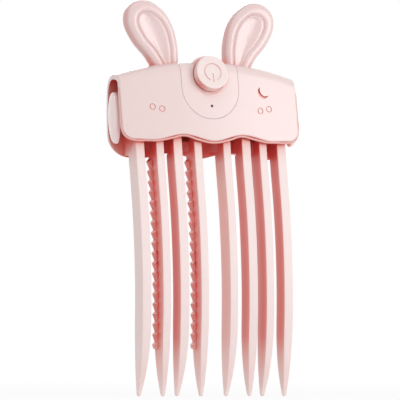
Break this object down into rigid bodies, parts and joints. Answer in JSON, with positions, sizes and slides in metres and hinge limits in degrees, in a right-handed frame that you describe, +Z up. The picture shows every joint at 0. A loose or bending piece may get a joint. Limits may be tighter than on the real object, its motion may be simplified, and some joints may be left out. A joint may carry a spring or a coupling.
{
  "type": "heated hair clip",
  "caption": "Heated root volumizing hair clip with rabbit ears, a nose-shaped power button, a long heated comb and two spring-loaded ribbed jaws worked by end buttons.",
  "frame": {"origin": "bottom centre of the whole clip's bounding box, level with the tooth tips", "axes": "+X to the wearer's side on the right of the picture, +Y to the rear cover, +Z up to the ears"},
  "size_m": [0.0756, 0.0238, 0.1468],
  "materials": {
    "shell": "smooth satin moulding, pale pink",
    "teeth": "smooth heat-resistant moulding, pale pink",
    "button": "smooth satin moulding, pale pink",
    "board": "solder-masked laminate",
    "chip": "moulded package",
    "lens": "clear light pipe",
    "steel": "plated steel",
    "spring_steel": "drawn spring wire",
    "spreader": "bright pressed aluminium",
    "film": "amber film",
    "pad": "white fibre pad",
    "cell": "foil pouch",
    "frame": "plain moulding, pale pink",
    "socket": "stamped steel shell"
  },
  "bodies": {
    "housing": {"front_cover": "shell", "rear_cover": "shell", "muzzle_panel": "shell", "left_ear": "shell", "right_ear": "shell", "fixed_comb": "teeth", "inner_frame": "frame", "tact_switch": "steel", "circuit_board": "board", "control_chips": "chip", "status_led": "lens", "led_light_pipe": "lens", "board_screws": "steel", "cover_screws": "steel", "comb_screws": "steel", "guide_rods": "steel", "left_spring": "spring_steel", "right_spring": "spring_steel", "heat_spreader": "spreader", "film_heater": "film", "thermal_fuse": "chip", "temperature_sensor": "chip", "insulation_pad": "pad", "battery": "cell", "charging_socket": "socket"},
    "left_jaw": {"left_jaw": "teeth", "left_end_button": "button"},
    "right_jaw": {"right_jaw": "teeth", "right_end_button": "button"},
    "nose_button": {"nose_button": "button"},
    "switch_plunger": {"switch_plunger": "chip"}
  },
  "joints": [
    {"name": "left_squeeze", "type": "slide", "parent": "housing", "child": "left_jaw", "axis": [0.9979, -0.0655, 0], "range_m": [0, 0.0024], "stiffness_N_per_m": 1500, "springref_m": -0.001, "deforming": ["left_spring"]},
    {"name": "right_squeeze", "type": "slide", "parent": "housing", "child": "right_jaw", "axis": [-0.9979, -0.0655, 0], "range_m": [0, 0.0024], "stiffness_N_per_m": 1500, "springref_m": -0.001, "deforming": ["right_spring"]},
    {"name": "power_press", "type": "slide", "parent": "housing", "child": "nose_button", "axis": [0, 0.9511, -0.309], "range_m": [0, 0.0005], "stiffness_N_per_m": 1500, "springref_m": -0.0002},
    {"name": "plunger_press", "type": "slide", "parent": "housing", "child": "switch_plunger", "axis": [0, 0.9511, -0.309], "range_m": [0, 0.0005]}
  ],
  "couplings": [
    {"joint": "plunger_press", "follows": "power_press", "ratio": 1}
  ]
}
